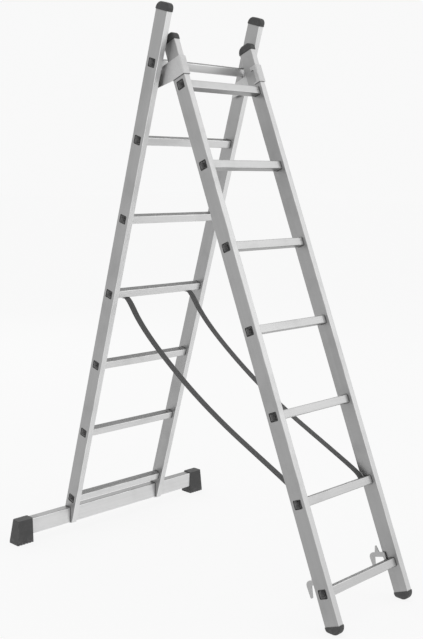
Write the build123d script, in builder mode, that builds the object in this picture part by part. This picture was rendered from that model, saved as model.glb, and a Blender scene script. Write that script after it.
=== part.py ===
from build123d import *
from math import cos, radians, sin, tan
import os

os.makedirs("parts", exist_ok=True)

# Two-section folding ladder standing open on the floor.
# X runs across the ladder, Y from front to back and Z up, with the floor at Z = 0.
# Each section has its own frame: across, towards the back, and up along its stiles from the lowest rung's
# even place.

# Lean of the sections from upright, in degrees
base_lean = 15.3
front_lean = 23.0

# Rungs
rung_count = 7
rung_pitch = 280.0
top_rung_drop = 20.0
low_rung_drop = 6.0
rung_height = 28.0
rung_depth = 30.0
rung_wall = 1.5
rung_corner = 3.0
rung_proud = 0.6
rung_fit = 0.1
groove_count = 6
groove_pitch = 4.0
groove_width = 1.8
groove_depth = 0.6

# Stiles
front_width = 394.0
section_gap = 13.0
stile_depth = 57.0
stile_width = 24.0
stile_wall = 1.8
stile_corner = 3.0
stile_above_rung = 150.0

# End caps and feet, plugged into the stiles
cap_height = 26.0
cap_front_round = 16.0
cap_back_round = 24.0
cap_edge = 5.0
plug_lip = 2.0
plug_length = 30.0
plug_wall = 2.5
plug_fit = 0.2
toe_round = 26.0
toe_straight = 0.3
heel_round = 13.0
foot_edge = 6.0
tread_count = 2
tread_pitch = 8.0
tread_width = 2.0
tread_depth = 1.5

# Stabiliser bar and its boots
bar_length = 940.0
bar_height = 60.0
bar_depth = 34.0
bar_wall = 2.0
bar_corner = 3.0
bar_clear = 29.0
bar_below_rung = 45.0
bar_fit = 0.1
boot_length = 60.0
boot_wall = 3.0
boot_fit = 0.3
boot_end = 4.0
boot_corner = 5.0
boot_sole = 6.0
boot_front_flare = 4.0
boot_rear_flare = 13.0
boot_end_flare = 8.0
boot_tread_count = 5
boot_tread_pitch = 13.0
boot_tread_width = 4.0
boot_tread_depth = 2.5

# Bolts that hold the bar to the stiles
block_below_rung = 3.0
bolt_diameter = 8.0
bolt_fit = 0.2
bolt_head_width = 13.0
bolt_head_height = 5.3
bolt_grip = 18.0
washer_diameter = 20.0
washer_thickness = 1.6

# Pivot between the sections
pivot_below_base_rung = 68.0
section_clear = 50.0
pivot_diameter = 10.0
pivot_running_fit = 0.05
pivot_end_fit = 0.3
pivot_grip = 14.0
pivot_head_rim = 6.0
pivot_head_height = 3.5
pivot_head_round = 1.2
pivot_socket_width = 6.0
pivot_socket_depth = 2.0
bush_wall = 6.0
insert_wall = 1.5
insert_flange_rim = 2.5
insert_flange = 1.4
insert_length = 15.0
insert_fit = 0.1

# Folded sheet brackets at the top of the front section
sheet = 3.0
bracket_height = 63.0
bracket_above_rung = 12.0
pivot_above_bracket = 26.0
bracket_fit = 0.3
bracket_bend = 4.0
lip_depth = 30.0
lip_strip = 16.0
lip_prong = 13.0
lip_foot = 5.0
plate_taper = 7.0
plate_back_clear = 12.0
step_clear = 3.0
step_slope = 10.0
step_round = 6.0

# Hooks behind the lowest front rung
hook_sheet = 5.0
hook_gap = 2.0
hook_fit = 0.2
hook_strip = 9.0
hook_root = 12.0
hook_flange = 30.0
hook_above_rung = 8.0
hook_arm_height = 18.0
hook_arm_rise = 4.0
hook_clear = 6.0
hook_leg = 21.0
hook_leg_length = 36.0
hook_leg_draft = 4.0
hook_mouth_draft = 10.0
hook_tip = 2.5
hook_shoulder = 16.0
hook_corner = 4.0
hook_edge = 2.0
hook_spike_near = 22.0
hook_spike_width = 17.0
hook_spike_lean = 6.0
hook_spike_height = 27.0
hook_rivet_near = 14.0
hook_rivet_pitch = 13.0

# Webbing straps that stop the sections from spreading
strap_width = 27.0
strap_thickness = 2.0
strap_fit = 0.2
strap_gap = 2.5
strap_base_rung = 4
strap_front_rung = 6
strap_bend_share = 0.45
clamp_margin = 1.5
clamp_height = 22.0
clamp_thickness = 2.0
clamp_rivet_pitch = 16.0

# Blind rivets
rivet_diameter = 4.8
rivet_fit = 0.2
rivet_head_diameter = 9.5
rivet_head_height = 2.0
rivet_head_taper = 25.0
rivet_recess_diameter = 2.8
rivet_recess_depth = 0.9
rivet_tail_length = 4.0

# Route of a strap's middle line, (Y, Z) from under the base rung to the back of the front rung
strap_route = [
    (398.41, 933.0),
    (362.71, 923.23),
    (304.06, 867.0),
    (195.06, 770.0),
    (33.06, 644.0),
    (-128.94, 539.0),
    (-290.94, 455.0),
    (-399.94, 410.5),
    (-458.13, 390.57),
    (-472.58, 356.51),
]

# Shared places
top_rung = (rung_count - 1) * rung_pitch
front_levels = [top_rung - index * rung_pitch for index in range(rung_count)]
base_levels = [top_rung - top_rung_drop, *front_levels[1:-1], front_levels[-1] - low_rung_drop]
stile_top = top_rung + stile_above_rung
base_width = front_width + 2 * (stile_width + section_gap)
base_stile_x = (base_width - stile_width) / 2
base_inner_x = base_width / 2 - stile_width
front_stile_x = (front_width - stile_width) / 2
front_inner_x = front_width / 2 - stile_width
bore_width = stile_width - 2 * stile_wall
bore_depth = stile_depth - 2 * stile_wall
cap_width = stile_width + 2 * plug_lip
cap_depth = stile_depth + 2 * plug_lip
base_sin, base_cos = sin(radians(base_lean)), cos(radians(base_lean))
front_sin, front_cos = sin(radians(front_lean)), cos(radians(front_lean))

# Heights above the floor, and front-to-back places measured from the base's own frame
bar_top = bar_clear + bar_height
base_z = bar_top + bar_below_rung
bracket_low = top_rung + rung_height / 2 + bracket_above_rung
bracket_high = bracket_low + bracket_height
base_pivot = base_levels[0] - pivot_below_base_rung
front_pivot = bracket_low + pivot_above_bracket
pivot_behind_front = stile_depth + section_clear
pivot_z = base_z + base_pivot * base_cos
front_z = pivot_z - front_pivot * front_cos + pivot_behind_front * front_sin
rear_edge = -(bar_below_rung + stile_depth / 2 * base_sin) / base_cos
bar_rear = -rear_edge * base_sin + stile_depth / 2 * base_cos
boot_rear = bar_rear + boot_wall + boot_rear_flare
front_behind = base_pivot * base_sin + front_pivot * front_sin + pivot_behind_front * front_cos
toe_back = toe_round - cap_depth / 2
toe_level = (toe_round - front_z + toe_back * front_sin) / front_cos
toe_front = toe_level * front_sin + toe_back * front_cos - toe_round - front_behind
heel_back = cap_depth / 2 - heel_round
heel_level = (heel_round - front_z + heel_back * front_sin) / front_cos

# The origin is on the floor, midway between the toes and the boots' backs
base_y = -(toe_front + boot_rear) / 2
front_y = base_y - front_behind
bar_y = base_y + bar_rear - bar_depth / 2
bar_z = bar_clear + bar_height / 2

base = Plane(origin=(0, base_y, base_z), x_dir=(1, 0, 0), z_dir=(0, -base_sin, base_cos))
front = Plane(origin=(0, front_y, front_z), x_dir=(1, 0, 0), z_dir=(0, front_sin, front_cos))
base_side = Plane(origin=base.origin, x_dir=base.y_dir, z_dir=(1, 0, 0))
front_side = Plane(origin=front.origin, x_dir=front.y_dir, z_dir=(1, 0, 0))
pivot_radius = pivot_diameter / 2
insert_radius = pivot_radius + insert_wall
pivot_side = Plane(origin=base.from_local_coords((0, 0, base_pivot)), x_dir=(0, 1, 0), z_dir=(1, 0, 0))

strap_x = front_inner_x - strap_gap - strap_width / 2
clamp_seat = strap_thickness + 2 * strap_fit + clamp_thickness
strap_base_level = base_levels[strap_base_rung - 1] - rung_height / 2
strap_front_level = front_levels[strap_front_rung - 1]
clamp_places = [(strap_x + step * clamp_rivet_pitch / 2) * side for side in (-1, 1) for step in (-1, 1)]
hook_x = front_inner_x - hook_gap - hook_sheet
hook_seat = rung_depth / 2 + hook_fit
hook_rivet_x = front_inner_x - hook_gap - hook_rivet_near
hook_places = [(hook_rivet_x - step * hook_rivet_pitch) * side for side in (-1, 1) for step in (0, 1)]


def rivet_seats(section, places, back, level, outward):
    """Planes on a rung's face, one for each rivet, that look out of the face."""
    return [
        Plane(origin=section.from_local_coords((x, back, level)), x_dir=(1, 0, 0), z_dir=outward)
        for x in places
    ]


strap_base_seats = rivet_seats(base, clamp_places, 0, strap_base_level, -base.z_dir)
strap_front_seats = rivet_seats(front, clamp_places, rung_depth / 2, strap_front_level, front.y_dir)
hook_seats = rivet_seats(front, hook_places, rung_depth / 2, 0, front.y_dir)


def write(piece, name):
    """Labels a finished piece and writes it under its name."""
    piece.part.label = name
    export_step(piece.part, f"parts/{name}.step")


def write_pair(right, name):
    """Writes a right-hand piece and its mirror image for the left."""
    write(right, f"{name}_right")
    with BuildPart() as left:
        mirror(right.part, about=Plane.YZ)
    write(left, f"{name}_left")


def make_rung(side, width, level, seats):
    """A hollow rung with a grooved tread that runs through both stiles, drilled at the rivet seats."""
    length = width + 2 * rung_proud
    with BuildPart() as rung:
        with BuildSketch(side.offset(-length / 2)):
            with Locations((0, level)):
                RectangleRounded(rung_depth, rung_height, rung_corner)
                Rectangle(rung_depth - 2 * rung_wall, rung_height - 2 * rung_wall, mode=Mode.SUBTRACT)
            with Locations((0, level + rung_height / 2)):
                with GridLocations(groove_pitch, 0, groove_count, 1):
                    Rectangle(groove_width, 2 * groove_depth, mode=Mode.SUBTRACT)
        extrude(amount=length)
        if seats:
            with BuildSketch(*seats):
                Circle(rivet_diameter / 2 + rivet_fit)
            extrude(amount=-2 * rung_wall, mode=Mode.SUBTRACT)
    return rung


def make_cap(section, side, x):
    """A rounded end cap with a hollow plug that goes down into the stile."""
    upward = Axis(section.origin, section.z_dir)
    with BuildPart() as cap:
        with BuildSketch(side.offset(x - cap_width / 2)):
            with Locations((0, stile_top)):
                Rectangle(cap_depth, cap_height, align=(Align.CENTER, Align.MIN))
            fillet(vertices().group_by(Axis.Y)[-1].sort_by(Axis.X)[0], cap_front_round)
            fillet(vertices().group_by(Axis.Y)[-1].sort_by(Axis.X)[-1], cap_back_round)
        extrude(amount=cap_width)
        rims = faces().sort_by(Axis.X)
        fillet(rims[0].edges().sort_by(upward)[1:] + rims[-1].edges().sort_by(upward)[1:], cap_edge)
        with BuildSketch(section.offset(stile_top)):
            with Locations((x, 0)):
                Rectangle(bore_width - 2 * plug_fit, bore_depth - 2 * plug_fit)
                Rectangle(bore_width - 2 * plug_wall, bore_depth - 2 * plug_wall, mode=Mode.SUBTRACT)
        extrude(amount=-plug_length)
    return cap


def make_rivets(seats, grip):
    """Blind rivets whose heads stand on what they clamp and whose tails end inside the rung."""
    heads = [seat.offset(grip) for seat in seats]
    with BuildPart() as rivets:
        with BuildSketch(*heads):
            Circle(rivet_head_diameter / 2)
        extrude(amount=rivet_head_height, taper=rivet_head_taper)
        with BuildSketch(*heads):
            Circle(rivet_diameter / 2)
        extrude(amount=-grip - rung_wall - rivet_tail_length)
        with BuildSketch(*[head.offset(rivet_head_height) for head in heads]):
            Circle(rivet_recess_diameter / 2)
        extrude(amount=-rivet_recess_depth, mode=Mode.SUBTRACT)
    return rivets


# Base stiles: box tube, holed for the rungs and the pivot insert, cut away over the stabiliser bar
base_stile_low = -(base_z + stile_depth) / base_cos
with BuildPart() as base_stile:
    with BuildSketch(base.offset(base_stile_low)):
        with Locations((base_stile_x, 0)):
            RectangleRounded(stile_width, stile_depth, stile_corner)
            Rectangle(bore_width, bore_depth, mode=Mode.SUBTRACT)
    extrude(amount=stile_top - base_stile_low)
    with BuildSketch(base_side):
        with Locations(*[(0, level) for level in base_levels]):
            RectangleRounded(rung_depth + 2 * rung_fit, rung_height + 2 * rung_fit, rung_corner + rung_fit)
    extrude(amount=base_width, mode=Mode.SUBTRACT)
    with BuildSketch(Plane.YZ):
        with Locations((bar_y - bar_depth / 2 - bar_fit, bar_top + bar_fit)):
            Rectangle(2 * stile_depth, 2 * bar_top, align=(Align.MIN, Align.MAX))
    extrude(amount=base_width, mode=Mode.SUBTRACT)
    split(bisect_by=Plane.XY.offset(bar_clear), keep=Keep.TOP)
    with BuildSketch(pivot_side.offset(base_inner_x)):
        Circle(insert_radius + insert_fit)
    extrude(amount=2 * stile_wall, both=True, mode=Mode.SUBTRACT)
write_pair(base_stile, "base_stile")

# Base rungs, numbered from the top
for index, level in enumerate(base_levels, 1):
    base_rung = make_rung(base_side, base_width, level, strap_base_seats if index == strap_base_rung else [])
    write(base_rung, f"base_rung_{index}")

write_pair(make_cap(base, base_side, base_stile_x), "base_cap")

# Stabiliser bar: box tube across the base stiles' feet, drilled upright for its bolts
with BuildPart() as stabiliser_bar:
    with BuildSketch(Plane.YZ.offset(-bar_length / 2)):
        with Locations((bar_y, bar_z)):
            RectangleRounded(bar_depth, bar_height, bar_corner)
            Rectangle(bar_depth - 2 * bar_wall, bar_height - 2 * bar_wall, mode=Mode.SUBTRACT)
    extrude(amount=bar_length)
    with BuildSketch(Plane.XY):
        with Locations((0, bar_y)):
            with GridLocations(2 * base_stile_x, 0, 2, 1):
                Circle(bolt_diameter / 2 + bolt_fit)
    extrude(amount=2 * bar_top, mode=Mode.SUBTRACT)
write(stabiliser_bar, "stabiliser_bar")

# Stabiliser boots: rubber shoes that flare down to a grooved sole, with a pocket for the bar's end
boot_inner_x = bar_length / 2 - boot_length
boot_top_end = bar_length / 2 + boot_end
boot_top_front = bar_y - bar_depth / 2 - boot_wall
boot_top_rear = bar_y + bar_depth / 2 + boot_wall
boot_sole_end = boot_top_end + boot_end_flare
boot_sole_front = boot_top_front - boot_front_flare
boot_sole_rear = boot_top_rear + boot_rear_flare
with BuildPart() as boot:
    with BuildSketch(Plane.XY) as boot_foot:
        with Locations((boot_inner_x, boot_sole_front)):
            Rectangle(
                boot_sole_end - boot_inner_x,
                boot_sole_rear - boot_sole_front,
                align=(Align.MIN, Align.MIN),
            )
        fillet(vertices(), boot_corner)
    extrude(amount=boot_sole)
    with BuildSketch(Plane.XY.offset(boot_sole)):
        add(boot_foot.sketch)
    with BuildSketch(Plane.XY.offset(bar_top + boot_wall)):
        with Locations((boot_inner_x, boot_top_front)):
            Rectangle(
                boot_top_end - boot_inner_x,
                boot_top_rear - boot_top_front,
                align=(Align.MIN, Align.MIN),
            )
        fillet(vertices(), boot_corner)
    loft(ruled=True)
    with BuildSketch(Plane.YZ.offset(boot_inner_x)):
        with Locations((bar_y, bar_z)):
            RectangleRounded(bar_depth + 2 * boot_fit, bar_height + 2 * boot_fit, bar_corner + boot_fit)
    extrude(amount=boot_length + boot_fit, mode=Mode.SUBTRACT)
    with BuildSketch(Plane.XY):
        with Locations(((boot_inner_x + boot_sole_end) / 2, bar_y)):
            with GridLocations(boot_tread_pitch, 0, boot_tread_count, 1):
                Rectangle(boot_tread_width, 4 * bar_depth)
    extrude(amount=boot_tread_depth, mode=Mode.SUBTRACT)
write_pair(boot, "stabiliser_boot")

# Nut blocks inside the base stiles' ends, cut off level on the bar
with BuildPart() as nut_block:
    with BuildSketch(base.offset(base_levels[-1] - rung_height / 2 - block_below_rung)):
        with Locations((base_stile_x, 0)):
            Rectangle(bore_width - 2 * plug_fit, bore_depth - 2 * plug_fit)
    extrude(amount=-2 * bar_height)
    split(bisect_by=Plane.XY.offset(bar_top + bar_fit), keep=Keep.TOP)
    with BuildSketch(Plane.XY.offset(bar_top)):
        with Locations((base_stile_x, bar_y)):
            Circle(bolt_diameter / 2 + bolt_fit)
    extrude(amount=bolt_grip + bolt_fit, mode=Mode.SUBTRACT)
write_pair(nut_block, "stabiliser_nut_block")

# Washers and bolts under the bar, up into the nut blocks
with BuildPart() as washers:
    with BuildSketch(Plane.XY.offset(bar_clear)):
        with Locations((0, bar_y)):
            with GridLocations(2 * base_stile_x, 0, 2, 1):
                Circle(washer_diameter / 2)
                Circle(bolt_diameter / 2 + bolt_fit, mode=Mode.SUBTRACT)
    extrude(amount=-washer_thickness)
write(washers, "stabiliser_washers")

bolt_seat = bar_clear - washer_thickness
with BuildPart() as bolts:
    with BuildSketch(Plane.XY.offset(bolt_seat)):
        with Locations((0, bar_y)):
            with GridLocations(2 * base_stile_x, 0, 2, 1):
                RegularPolygon(bolt_head_width / 2, 6, major_radius=False)
    extrude(amount=-bolt_head_height)
    with BuildSketch(Plane.XY.offset(bolt_seat)):
        with Locations((0, bar_y)):
            with GridLocations(2 * base_stile_x, 0, 2, 1):
                Circle(bolt_diameter / 2)
    extrude(amount=bar_top + bolt_grip - bolt_seat)
write(bolts, "stabiliser_bolts")

# Pivot inserts: blind rivet nuts in the base stiles' inner walls
with BuildPart() as insert:
    with BuildSketch(pivot_side.offset(base_inner_x)):
        Circle(insert_radius + insert_flange_rim)
    extrude(amount=-insert_flange)
    with BuildSketch(pivot_side.offset(base_inner_x)):
        Circle(insert_radius)
    extrude(amount=insert_length)
    with BuildSketch(pivot_side.offset(base_inner_x)):
        Circle(pivot_radius + pivot_running_fit)
    extrude(amount=insert_length, both=True, mode=Mode.SUBTRACT)
write_pair(insert, "pivot_insert")

# Pivot bushes: nylon spacers between the bracket plates and the inserts
plate_inner_x = front_width / 2 + bracket_fit
plate_outer_x = plate_inner_x + sheet
bush_x = plate_outer_x + pivot_end_fit
with BuildPart() as bush:
    with BuildSketch(pivot_side.offset(bush_x)):
        Circle(pivot_radius + bush_wall)
        Circle(pivot_radius + pivot_running_fit, mode=Mode.SUBTRACT)
    extrude(amount=base_inner_x - insert_flange - bush_x)
write_pair(bush, "pivot_bush")

# Pivot bolts: low socket heads inside the bracket plates, shanks screwed into the inserts
pivot_head_x = plate_inner_x - pivot_end_fit
with BuildPart() as pivot_bolt:
    with BuildSketch(pivot_side.offset(pivot_head_x)):
        Circle(pivot_radius + pivot_head_rim)
    extrude(amount=-pivot_head_height)
    fillet(edges().sort_by(Axis.X)[0], pivot_head_round)
    with BuildSketch(pivot_side.offset(pivot_head_x - pivot_head_height)):
        RegularPolygon(pivot_socket_width / 2, 6, major_radius=False)
    extrude(amount=pivot_socket_depth, mode=Mode.SUBTRACT)
    with BuildSketch(pivot_side.offset(pivot_head_x)):
        Circle(pivot_radius)
    extrude(amount=base_inner_x + pivot_grip - pivot_head_x)
write_pair(pivot_bolt, "pivot_bolt")

# Front stiles: box tube, holed for the rungs, cut square above the feet
foot_line = toe_level + toe_straight
with BuildPart() as front_stile:
    with BuildSketch(front.offset(foot_line)):
        with Locations((front_stile_x, 0)):
            RectangleRounded(stile_width, stile_depth, stile_corner)
            Rectangle(bore_width, bore_depth, mode=Mode.SUBTRACT)
    extrude(amount=stile_top - foot_line)
    with BuildSketch(front_side):
        with Locations(*[(0, level) for level in front_levels]):
            RectangleRounded(rung_depth + 2 * rung_fit, rung_height + 2 * rung_fit, rung_corner + rung_fit)
    extrude(amount=front_width, mode=Mode.SUBTRACT)
write_pair(front_stile, "front_stile")

# Front rungs, numbered from the top; the last carries the hooks
for index, level in enumerate(front_levels, 1):
    seats = strap_front_seats if index == strap_front_rung else []
    if index == rung_count:
        seats = hook_seats
    write(make_rung(front_side, front_width, level, seats), f"front_rung_{index}")

write_pair(make_cap(front, front_side, front_stile_x), "front_cap")

# Front feet: wedge soles flat on the floor with a rounded toe, grooved across, plugged up into the stiles
foot_back = cap_depth / 2
sole_slope = front_sin / front_cos
sole_middle = -front_z / front_cos
sole_y = front_y + ((toe_level + heel_level) * front_sin + (toe_back + heel_back) * front_cos) / 2
with BuildPart() as foot:
    with BuildSketch(front_side.offset(front_stile_x - cap_width / 2)):
        with BuildLine():
            Polyline(
                (-foot_back, foot_line),
                (-foot_back, sole_middle - foot_back * sole_slope),
                (foot_back, sole_middle + foot_back * sole_slope),
                (foot_back, foot_line),
                close=True,
            )
        make_face()
        fillet(vertices().sort_by(Axis.Y)[0], toe_round)
        fillet(vertices().group_by(Axis.X)[-1].sort_by(Axis.Y)[0], heel_round)
    extrude(amount=cap_width)
    upward = Axis(front.origin, front.z_dir)
    rims = faces().sort_by(Axis.X)
    fillet(rims[0].edges().sort_by(upward)[:-1] + rims[-1].edges().sort_by(upward)[:-1], foot_edge)
    with BuildSketch(Plane.XY):
        with Locations((front_stile_x, sole_y)):
            with GridLocations(0, tread_pitch, 1, tread_count):
                Rectangle(2 * cap_width, tread_width)
    extrude(amount=tread_depth, mode=Mode.SUBTRACT)
    with BuildSketch(front.offset(foot_line)):
        with Locations((front_stile_x, 0)):
            Rectangle(bore_width - 2 * plug_fit, bore_depth - 2 * plug_fit)
            Rectangle(bore_width - 2 * plug_wall, bore_depth - 2 * plug_wall, mode=Mode.SUBTRACT)
    extrude(amount=plug_length)
write_pair(foot, "front_foot")

# Brackets: sheet folded round each front stile, its long plate tapered below and stepped under the top rung
web_front = -stile_depth / 2 - bracket_fit - sheet
lip_outer_x = front_inner_x - bracket_fit - sheet
plate_reach = pivot_behind_front + stile_depth + bracket_height
rung_edge = front.to_local_coords(
    base.from_local_coords(Vector(0, -rung_depth / 2, base_levels[0] - rung_height / 2))
)
step_level = rung_edge.Z - step_clear
with BuildPart() as bracket:
    with BuildSketch(front.offset(bracket_low)):
        with BuildLine():
            FilletPolyline(
                (plate_outer_x, plate_reach),
                (plate_outer_x, web_front),
                (lip_outer_x, web_front),
                (lip_outer_x, web_front + lip_depth),
                radius=bracket_bend,
            )
            offset(amount=sheet, side=Side.RIGHT)
        make_face()
    extrude(amount=bracket_height)
    plate_back = base.from_local_coords((0, stile_depth / 2 - plate_back_clear, 0))
    split(bisect_by=Plane(plate_back, z_dir=base.y_dir), keep=Keep.BOTTOM)
    with BuildSketch(front_side):
        with BuildLine():
            Polyline(
                (stile_depth / 2, bracket_low),
                (plate_reach, bracket_low),
                (plate_reach, bracket_low + (plate_reach - stile_depth / 2) * tan(radians(plate_taper))),
                close=True,
            )
        make_face()
    extrude(amount=front_width, mode=Mode.SUBTRACT)
    with BuildSketch(front_side):
        with BuildLine():
            FilletPolyline(
                (web_front + lip_strip, bracket_low + lip_foot),
                (web_front + lip_strip, bracket_high - lip_prong),
                (web_front + 2 * lip_depth, bracket_high - lip_prong),
                (web_front + 2 * lip_depth, bracket_low + lip_foot),
                radius=lip_foot,
                close=True,
            )
        make_face()
    extrude(amount=front_inner_x, mode=Mode.SUBTRACT)
    with BuildSketch(front_side):
        with BuildLine():
            Polyline(
                (rung_edge.Y - step_slope, bracket_high),
                (rung_edge.Y, step_level),
                (plate_reach, step_level),
                (plate_reach, bracket_high),
                close=True,
            )
        make_face()
        fillet(vertices().group_by(Axis.Y)[0].sort_by(Axis.X)[0], step_round)
    extrude(amount=front_width, mode=Mode.SUBTRACT)
    with BuildSketch(pivot_side.offset(plate_inner_x)):
        Circle(pivot_radius + pivot_running_fit)
    extrude(amount=2 * sheet, both=True, mode=Mode.SUBTRACT)
write_pair(bracket, "bracket")

# Hooks: plate with a downturned leg and a guide spike, its flange riveted to the lowest rung's back
hook_arm_low = rung_height / 2 + hook_above_rung
arm_end = hook_arm_low + hook_arm_rise
arm_top = hook_arm_low + hook_arm_height
leg_inner = hook_seat + hook_strip + rung_depth + hook_clear
leg_outer = leg_inner + hook_leg
leg_low = hook_arm_low - hook_leg_length
spike_front = hook_seat + hook_spike_near
spike_back = spike_front + hook_spike_width
with BuildPart() as hook:
    with BuildSketch(front_side.offset(hook_x)):
        with BuildLine():
            FilletPolyline(
                (hook_seat, -hook_root),
                (hook_seat + hook_strip, -hook_root),
                (hook_seat + hook_strip, hook_arm_low),
                (leg_inner, arm_end),
                (leg_inner + hook_mouth_draft, leg_low),
                (leg_outer - hook_leg_draft, leg_low),
                (leg_outer, arm_top + hook_arm_rise),
                (spike_back, arm_top),
                (spike_front + hook_spike_lean, arm_top + hook_spike_height),
                (spike_front, arm_top),
                (hook_seat, arm_top - hook_arm_rise),
                radius=[
                    *[hook_edge] * 2,
                    *[hook_corner] * 2,
                    *[hook_tip] * 2,
                    hook_shoulder,
                    *[hook_edge] * 4,
                ],
                close=True,
            )
        make_face()
    extrude(amount=hook_sheet)
    with BuildSketch(front_side.offset(hook_x - hook_flange)):
        with Locations((hook_seat, 0)):
            Rectangle(hook_sheet, 2 * hook_root, align=(Align.MIN, Align.CENTER))
    extrude(amount=hook_flange + hook_sheet)
    with BuildSketch(*hook_seats[2:]):
        Circle(rivet_diameter / 2 + rivet_fit)
    extrude(amount=2 * hook_sheet, mode=Mode.SUBTRACT)
write_pair(hook, "hook")
write(make_rivets(hook_seats, hook_fit + hook_sheet), "hook_rivets")

# Straps: flat webbing along the route, holed for the rivets at both ends
route = [Vector(strap_x, y, z) for y, z in strap_route]
runs = [end - start for start, end in zip(route, route[1:])]
bends = []
for before, after in zip(runs, runs[1:]):
    half_turn = radians(before.get_angle(after) / 2)
    bends.append(strap_bend_share * min(before.length, after.length) / tan(half_turn))
with BuildPart() as strap:
    with BuildLine() as strap_line:
        FilletPolyline(*route, radius=bends)
    with BuildSketch(Plane(strap_line.line @ 0, x_dir=(1, 0, 0), z_dir=strap_line.line % 0)):
        Rectangle(strap_width, strap_thickness)
    sweep()
    with BuildSketch(*strap_base_seats[2:], *strap_front_seats[2:]):
        Circle(rivet_diameter / 2 + rivet_fit)
    extrude(amount=2 * clamp_seat, both=True, mode=Mode.SUBTRACT)
write_pair(strap, "strap")
print("strap radii", [round(bend) for bend in bends])
strap_length = strap_line.wire().length
strap_volume = strap_width * strap_thickness * strap_length
print("strap length", round(strap_length, 1))
print("strap volume over section times length", round(strap.part.volume / strap_volume, 4))

# Clamp plates that hold the straps' ends on the rungs
for name, seats in (("strap_clamp_base", strap_base_seats), ("strap_clamp_front", strap_front_seats)):
    clamp_middle = (seats[2].origin + seats[3].origin) / 2
    clamp_plane = Plane(clamp_middle, x_dir=(1, 0, 0), z_dir=seats[2].z_dir)
    with BuildPart() as clamp:
        with BuildSketch(clamp_plane.offset(strap_thickness + 2 * strap_fit)):
            RectangleRounded(strap_width + 2 * clamp_margin, clamp_height, rung_corner)
            with GridLocations(clamp_rivet_pitch, 0, 2, 1):
                Circle(rivet_diameter / 2 + rivet_fit, mode=Mode.SUBTRACT)
        extrude(amount=clamp_thickness)
    write_pair(clamp, name)
write(make_rivets(strap_base_seats, clamp_seat), "strap_rivets_base")
write(make_rivets(strap_front_seats, clamp_seat), "strap_rivets_front")
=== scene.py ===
"""Two-section folding ladder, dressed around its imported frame.

Every piece is in metres in the frame's own axes: X across the ladder, Y from the front section to the base
section, and Z up from the floor.
"""

import logging
from abc import ABC, abstractmethod
from dataclasses import dataclass, replace
from enum import Enum
from math import cos, pi, radians, sin
from typing import Any, ClassVar

import bpy
import numpy as np
from mathutils import Matrix, Vector


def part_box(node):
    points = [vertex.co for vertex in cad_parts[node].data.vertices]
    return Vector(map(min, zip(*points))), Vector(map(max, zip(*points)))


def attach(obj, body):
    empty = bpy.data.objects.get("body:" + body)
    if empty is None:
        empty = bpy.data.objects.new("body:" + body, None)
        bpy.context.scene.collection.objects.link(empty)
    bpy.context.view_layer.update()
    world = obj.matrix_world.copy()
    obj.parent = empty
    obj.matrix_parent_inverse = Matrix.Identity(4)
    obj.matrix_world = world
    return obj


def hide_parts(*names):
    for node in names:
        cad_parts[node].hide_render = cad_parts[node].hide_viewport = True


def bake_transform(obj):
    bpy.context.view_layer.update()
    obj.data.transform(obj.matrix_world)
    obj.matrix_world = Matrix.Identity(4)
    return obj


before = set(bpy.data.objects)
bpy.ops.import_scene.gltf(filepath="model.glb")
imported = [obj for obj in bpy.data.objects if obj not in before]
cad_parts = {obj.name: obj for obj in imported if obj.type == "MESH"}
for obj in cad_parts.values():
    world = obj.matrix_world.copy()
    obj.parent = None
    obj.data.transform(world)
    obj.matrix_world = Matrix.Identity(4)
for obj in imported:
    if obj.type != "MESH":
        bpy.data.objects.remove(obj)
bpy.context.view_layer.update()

SHARP_ANGLE = radians(50.0)
WHITE = (1.0, 1.0, 1.0, 1.0)
ACROSS = np.array((1.0, 0.0, 0.0))
LOG = logging.getLogger("ladder")
Socket = bpy.types.NodeSocket
Number = float | Socket
Pair = tuple[float, float]
Triple = tuple[float, float, float]
Piece = bpy.types.Object


class Lean(Enum):
    """Turn about X, in radians, that stands a section upright."""

    BASE = -radians(15.3)
    FRONT = radians(23.0)
    UPRIGHT = 0.0


class Side(Enum):
    """Side of the ladder, as a sign of X."""

    LEFT = -1
    RIGHT = 1


class Web(Enum):
    """Faces of a drawn tube that are its webs, as the axes out of its web and out of its flange."""

    SIDES = "XY"
    TOP_AND_BOTTOM = "ZY"


class NodeGraph:
    """Node tree, put together step by step.

    Attributes:
        tree: the tree.
    """

    def __init__(self, owner: bpy.types.Material | bpy.types.World) -> None:
        """Start with an empty tree.

        Args:
            owner: material or world that the tree belongs to.
        """
        owner.use_nodes = True
        self.tree = owner.node_tree
        self.tree.nodes.clear()

    def feed(self, target: Socket, source: Any) -> None:
        """Join an input to a socket, or set it to a plain value.

        Args:
            target: input that is fed.
            source: socket, number or tuple.
        """
        if isinstance(source, Socket):
            self.tree.links.new(source, target)
        else:
            target.default_value = source

    def node(self, kind: str, inputs: dict[int | str, Any] | None = None, **settings: Any) -> bpy.types.Node:
        """Add a node.

        Args:
            kind: Blender's name of the node type.
            inputs: sockets and plain values for its inputs, by the inputs' numbers or names.
            settings: values of its properties.

        Returns:
            The new node.
        """
        made = self.tree.nodes.new(kind)
        for key, value in settings.items():
            setattr(made, key, value)
        for key, value in (inputs or {}).items():
            self.feed(made.inputs[key], value)
        return made

    def calc(self, operation: str, first: Number, second: Number = 0.0) -> Socket:
        """Work out one step of arithmetic, given by Blender's name for it."""
        return self.node("ShaderNodeMath", {0: first, 1: second}, operation=operation).outputs[0]

    def mixed(self, share: Socket, first: Socket, second: Socket) -> Socket:
        """Mix two shaders, with a share of the second from 0 to 1."""
        return self.node("ShaderNodeMixShader", {0: share, 1: first, 2: second}).outputs[0]


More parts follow.
